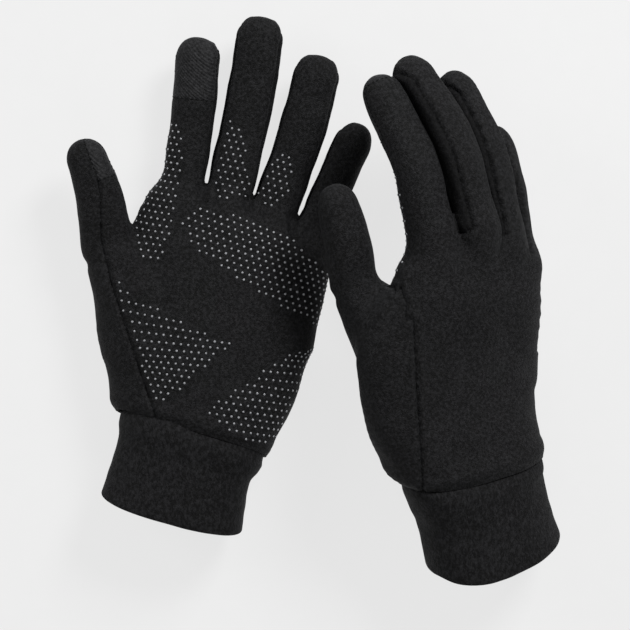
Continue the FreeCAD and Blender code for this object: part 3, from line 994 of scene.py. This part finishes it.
def cuff_piece(glove):
    """A doubled tube of knit: out from under the hand, down to the folded hem and back up inside."""
    tube = Tube(glove.data, glove.data["cuff"], before=1.0, steps=24)
    total = tube.total
    around = 168
    profile = []
    for s in np.linspace(total + 5.0, 1.3, 44):
        seam = total - s
        bulge = 0.75 * math.exp(-((seam - 6.5) / 3.6) ** 2)
        tuck = -1.5 * (1 - float(smoothstep(-0.5, 3.2, seam)))
        profile.append((s, bulge + tuck))
    for angle in np.linspace(0, math.pi, 9)[1:-1]:
        profile.append((1.3 - 1.35 * math.sin(angle), -1.35 + 1.35 * math.cos(angle)))
    for s in np.linspace(1.3, total + 5.0, 30):
        profile.append((s, -2.7 - 0.6 * float(smoothstep(total - 4, total + 2, s))))
    phi = np.linspace(0, 2 * math.pi, around, endpoint=False)
    rows = []
    for s, out in profile:
        centre, along, across, palmar, a, b = tube.at(s)
        c, d = np.cos(phi), np.sin(phi)
        power = 2 / SQUARENESS
        ring_u = np.sign(c) * np.abs(c) ** power * a
        ring_p = np.sign(d) * np.abs(d) ** power * b
        normal_u = np.sign(c) * np.abs(c) ** (2 - power) / a
        normal_p = np.sign(d) * np.abs(d) ** (2 - power) / b
        size = np.hypot(normal_u, normal_p)
        ring_u, ring_p = ring_u + out * normal_u / size, ring_p + out * normal_p / size
        ring = centre + np.outer(ring_u, across) + np.outer(ring_p, palmar)
        bow = glove.data["hem_bow"] * (1 - s / total) + glove.data["wrist_bow"] * min(s / total, 1)
        lean = -glove.data["wrist_slant"] * a * float(smoothstep(0, total, s)) * CUFF_LEAN
        rows.append(ring + np.outer(bow * np.sin(phi) + lean * np.cos(phi), along))
    points = np.vstack(rows)
    outward = unit(points - np.repeat([tube.at(s)[0] for s, _ in profile], around, axis=0))
    wobble = 0.28 * waves(points, 26.0, 7) + 0.10 * waves(points, 9.0, 8)
    points = rested(points + outward * wobble[:, None])
    faces = ring_faces(len(profile), around)
    if glove.data["turn"] < 0:
        faces = [f[::-1] for f in faces]
    obj = add_mesh(glove.side + "_cuff", points, faces, "cuff_knit")
    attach(obj, glove.side + "_hand")
    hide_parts(glove.side + "_cuff")


def care_label(glove):
    """A blank tape folded in two and sewn inside the back of the cuff, its fold towards the hem."""
    tube = Tube(glove.data, glove.data["cuff"], before=1.0, steps=24)
    turns = np.linspace(0, math.pi, 9)[1:-1]
    fold = [(LABEL_FOLD - 0.5 * math.sin(t), 0.5 - 0.5 * math.cos(t)) for t in turns]
    path = [(s, 0.0) for s in np.linspace(LABEL_LENGTH, LABEL_FOLD, 9)] + fold
    path += [(s, 1.0) for s in np.linspace(LABEL_FOLD, LABEL_LENGTH - 0.6, 9)]
    across_places = np.linspace(-LABEL_HALF_WIDTH, LABEL_HALF_WIDTH, 17)
    layers = []
    for thick in (0.0, LABEL_THICK):
        rows = []
        for number, (s, inner) in enumerate(path):
            centre, along, across, palmar, a, b = tube.at(s)
            offset = LABEL_INSET + inner + thick * (1 - 2 * number / (len(path) - 1))
            depth = -b * (1 - np.abs(across_places / a) ** SQUARENESS) ** (1 / SQUARENESS) + offset
            shift = glove.data["hem_bow"] * (1 - s / tube.total) + glove.data["wrist_bow"] * s / tube.total
            rows.append(centre - along * shift + np.outer(across_places, across) + np.outer(depth, palmar))
        layers.append(np.vstack(rows))
    points = np.vstack(layers)
    wide, long, half = len(across_places), len(path), len(across_places) * len(path)
    faces = []
    for i in range(long - 1):
        for j in range(wide - 1):
            a, b = i * wide + j, i * wide + j + 1
            faces += [(a, b, b + wide, a + wide), (half + a + wide, half + b + wide, half + b, half + a)]
    top = (long - 1) * wide
    rim = [(j, j + 1) for j in range(wide - 1)]
    rim += [(top + j + 1, top + j) for j in range(wide - 1)]
    rim += [(i * wide + wide - 1, (i + 1) * wide + wide - 1) for i in range(long - 1)]
    rim += [((i + 1) * wide, i * wide) for i in range(long - 1)]
    faces += [(b, a, half + a, half + b) for a, b in rim]
    obj = add_mesh(glove.side + "_care_label", points, faces, "label_tape")
    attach(obj, glove.side + "_hand")
    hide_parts(glove.side + "_care_label")


LEFT["hem_bow"], RIGHT["hem_bow"] = -4.6, 10.0
LABEL_INSET, LABEL_THICK, LABEL_HALF_WIDTH = 4.0, 0.3, 14.0
LABEL_FOLD, LABEL_LENGTH = 2.2, 9.5


# ---------------------------------------------------------------- grip print

DOT_PITCH = 3.5
ROW_PITCH = 3.03
PRINT_REACH = {"left": (92.0, 84.0), "right": (84.0, 76.0)}
DOT_RADIUS = 0.56
DOT_HEIGHT = 0.36
# Outlines of the print: arc from the middle of the palm, and length along the hand or finger.
HAND_PRINTS = {
    "palm_grip_upper": [(-27, 95), (-22, 105), (21, 108), (46, 99), (66, 96), (66, 68), (36, 71), (5, 79),
                        (-22, 87)],
    "palm_grip_thumb_side": [(-78, 74), (-59, 68), (-39, 58), (14, 46), (-16, 13), (-24, 16), (-39, 33),
                             (-53, 45), (-78, 56)],
    "palm_grip_little_side": [(4, 14), (43, 44), (66, 60), (66, 34), (48, 24), (46, 6), (34, 1), (16, 5)],
}
FINGER_PRINTS = {
    "index": [(-11, 28), (-3.8, 25.4), (-0.3, -2.3), (-1.5, -19.5), (-2.2, -42), (-13, -42), (-20.4, -31),
              (-24, -17), (-24, 4), (-20, 16)],
    "middle": [(-7.6, 32), (0, 26.9), (9.3, 4.4), (9.3, -4), (-3.3, -7), (-9, 0.1), (-7.6, 15.2)],
    "ring": [(-5, 24), (2.2, 17.9), (4.6, 3.5), (0.5, -5), (-6.7, -5), (-11, 0.6), (-9.6, 13.8)],
}


def print_points(glove, tube, zone, only, reach):
    """Points of a hexagonal lattice inside a zone given by its arc from the palm's middle and its length."""
    zone = np.array(zone, float)
    angles = np.radians(np.arange(-reach, reach + 0.1, 3.0))
    found = []
    rows = np.arange(math.floor(zone[:, 1].min() / ROW_PITCH), math.ceil(zone[:, 1].max() / ROW_PITCH) + 1)
    for row in rows:
        s = row * ROW_PITCH
        centre, along, across, palmar = tube.at(s)[:4]
        rays = np.outer(np.cos(angles), palmar) + np.outer(np.sin(angles), across)
        steps = np.linspace(0.5, 62, 42)
        inside = np.stack([glove.skin(centre + rays * t, only) < 0 for t in steps])
        leaves = np.where((~inside).any(0), (~inside).argmax(0), len(steps) - 1)
        near, far = steps[np.maximum(leaves - 1, 0)], steps[leaves]
        for _ in range(7):
            middle = (near + far) / 2
            within = glove.skin(centre + rays * middle[:, None], only) < 0
            near, far = np.where(within, middle, near), np.where(within, far, middle)
        surface = centre + rays * near[:, None]
        arc = np.concatenate([[0], np.cumsum(np.linalg.norm(np.diff(surface, axis=0), axis=1))])
        arc -= np.interp(0.0, angles, arc)
        shift = DOT_PITCH / 2 if row % 2 else 0.0
        first, last = math.ceil((arc[0] - shift) / DOT_PITCH), math.floor((arc[-1] - shift) / DOT_PITCH)
        places = np.arange(first, last + 1)
        places = places * DOT_PITCH + shift
        inside_zone = outline_distance(np.stack([places, np.full(len(places), s)], 1), zone) < 0
        places = places[inside_zone]
        if len(places):
            found.append(np.stack([np.interp(places, arc, surface[:, i]) for i in range(3)], axis=1))
    return np.vstack(found) if found else np.zeros((0, 3))


def dot_mesh(points, normals, seed):
    """Low domes of printed silicone, one at each point."""
    rng = np.random.default_rng(seed)
    sides = 12
    rings = [(1.0, -0.35), (1.0, 0.0), (0.86, 0.62), (0.52, 0.92)]
    ring_angles = np.linspace(0, 2 * math.pi, sides, endpoint=False)
    template = [(r * math.cos(a), r * math.sin(a), h) for r, h in rings for a in ring_angles] + [(0, 0, 1.0)]
    template = np.array(template)
    faces = ring_faces(len(rings), sides)
    top = len(rings) * sides
    last = top - sides
    faces += [(last + j, last + (j + 1) % sides, top) for j in range(sides)]
    verts, everything = [], []
    for number, (p, n) in enumerate(zip(points, normals)):
        side = unit(np.cross(n, (0.3, 0.9, 0.1)))
        other = np.cross(n, side)
        size = DOT_RADIUS * rng.uniform(0.9, 1.08)
        height = DOT_HEIGHT * rng.uniform(0.85, 1.1)
        verts.append(p + np.outer(template[:, 0] * size, side) + np.outer(template[:, 1] * size, other)
                     + np.outer(template[:, 2] * height, n))
        everything += [tuple(v + number * len(template) for v in f) for f in faces]
    return np.vstack(verts), everything


def skin_height(x, n, skin_points, tree):
    """Moves points from the plain field onto the shaped skin nearest to them."""
    moved = x.copy()
    for i, p in enumerate(x):
        near = tree.find_n(p, 4)
        offsets = [float(np.dot(skin_points[j] - p, n[i])) for _, j, _ in near]
        moved[i] = p + n[i] * float(np.mean(offsets))
    return moved


def grip_pieces(glove, hand_points, finger_points):
    """The printed dots: those past a finger's root are made as pieces of their finger, the rest ride on the hand.
    """
    trees = {d: (points, tree_of(points)) for d, points in (("hand", hand_points), *finger_points.items())}

    def printed(name, points, where, only, seed):
        n = unit(gradient(lambda x: glove.skin(x, only), points))
        skin_points, tree = trees[where]
        points = skin_height(points, n, skin_points, tree)
        verts, faces = dot_mesh(points, n, seed)
        return add_mesh(name, verts, faces, "silicone_grip")

    extra = []
    for seed, (digit, zone) in enumerate(FINGER_PRINTS.items()):
        tube = glove.tubes[digit]
        low_part = [p for p in zone if p[1] < 0]
        only = None if digit == "index" else digit
        points = print_points(glove, tube, zone, only, PRINT_REACH[glove.side][1])
        s = tube.local(points)[0]
        owner = glove.owner(points)
        mine = (owner == DIGITS.index(digit)) | (s < 0)
        points, s = points[mine], s[mine]
        on_finger = s > glove.split[digit]
        if on_finger.any():
            full = glove.side + "_" + digit + "_grip"
            obj = printed(full, points[on_finger], digit, digit, seed)
            bends(glove, obj, digit)
            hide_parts(full)
        if low_part:
            extra.append(points[~on_finger])
    extra = np.vstack(extra)
    for seed, (name, zone) in enumerate(HAND_PRINTS.items()):
        points = print_points(glove, glove.hand, zone, None, PRINT_REACH[glove.side][0])
        if name == "palm_grip_upper":
            gap = np.array([np.linalg.norm(points - e, axis=1).min() for e in extra])
            points = np.vstack([points, extra[gap > 2.6]])
        owner = glove.owner(points)
        sewing = Sewing(glove, points)
        off = (sewing.palm_seam < 1.6) & (sewing.q > -0.2) | (sewing.back_seam < 1.6) & (sewing.q < 0.2)
        for number, digit in enumerate(DIGITS):
            s = glove.tubes[digit].local(points)[0]
            off |= (owner == number) & (s > glove.split[digit])
        points = points[~off]
        full = glove.side + "_" + name
        obj = printed(full, points, "hand", None, 20 + seed)
        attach(obj, glove.side + "_hand")
        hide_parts(full)


# ---------------------------------------------------------------- build

for data in (LEFT, RIGHT):
    glove = Glove(data)
    hand_points = hand_skin(glove)
    finger_points = {}
    for digit in DIGITS:
        finger_points[digit] = finger_skin(glove, digit)
    cuff_piece(glove)
    care_label(glove)
    grip_pieces(glove, hand_points, finger_points)

# ---------------------------------------------------------------- floor, light and camera

FLOOR_GLOW = 0.735
floor_material, floor_tree = new_material("studio_paper")
floor_place = node(floor_tree, "ShaderNodeTexCoord").outputs["Object"]
paper = node(floor_tree, "ShaderNodeTexNoise", Vector=floor_place, Scale=90.0)
paper_colour = mixed(floor_tree, paper.outputs[0], (0.095, 0.095, 0.095), (0.105, 0.105, 0.105))
surface(floor_tree, Base_Color=paper_colour, Roughness=0.95, Specular_IOR_Level=0.0,
        Emission_Color=(1.0, 1.0, 1.0, 1), Emission_Strength=FLOOR_GLOW)
bpy.ops.mesh.primitive_plane_add(size=6.0, location=(0, 0, 0))
floor = bpy.context.object
floor.name = "floor"
floor.data.materials.append(floor_material)

world = bpy.data.worlds.new("studio")
bpy.context.scene.world = world
world.use_nodes = True
world.node_tree.nodes["Background"].inputs[0].default_value = (1.0, 1.0, 1.0, 1)
world.node_tree.nodes["Background"].inputs[1].default_value = 0.26


def area_light(name, location, target, size, energy):
    light = bpy.data.lights.new(name, "AREA")
    light.size = size
    light.energy = energy
    obj = bpy.data.objects.new(name, light)
    bpy.context.scene.collection.objects.link(obj)
    obj.location = location
    obj.rotation_euler = (Vector(target) - Vector(location)).to_track_quat("-Z", "Y").to_euler()


area_light("key_light", (0.55, 0.75, 0.80), (0, 0, 0.03), 0.40, 18.0)
area_light("fill_light", (-0.95, 0.45, 0.6), (0, 0, 0.03), 0.5, 6.0)
area_light("low_light", (0.1, -1.0, 0.7), (0, 0, 0.03), 0.8, 3.0)

camera = bpy.data.cameras.new("camera")
camera_object = bpy.data.objects.new("camera", camera)
bpy.context.scene.collection.objects.link(camera_object)
camera_object.location = (0.0003, -0.0111, 1.0)
camera.lens = 116.2
camera.sensor_width = 36.0
bpy.context.scene.camera = camera_object

bpy.context.scene.view_settings.view_transform = "Standard"
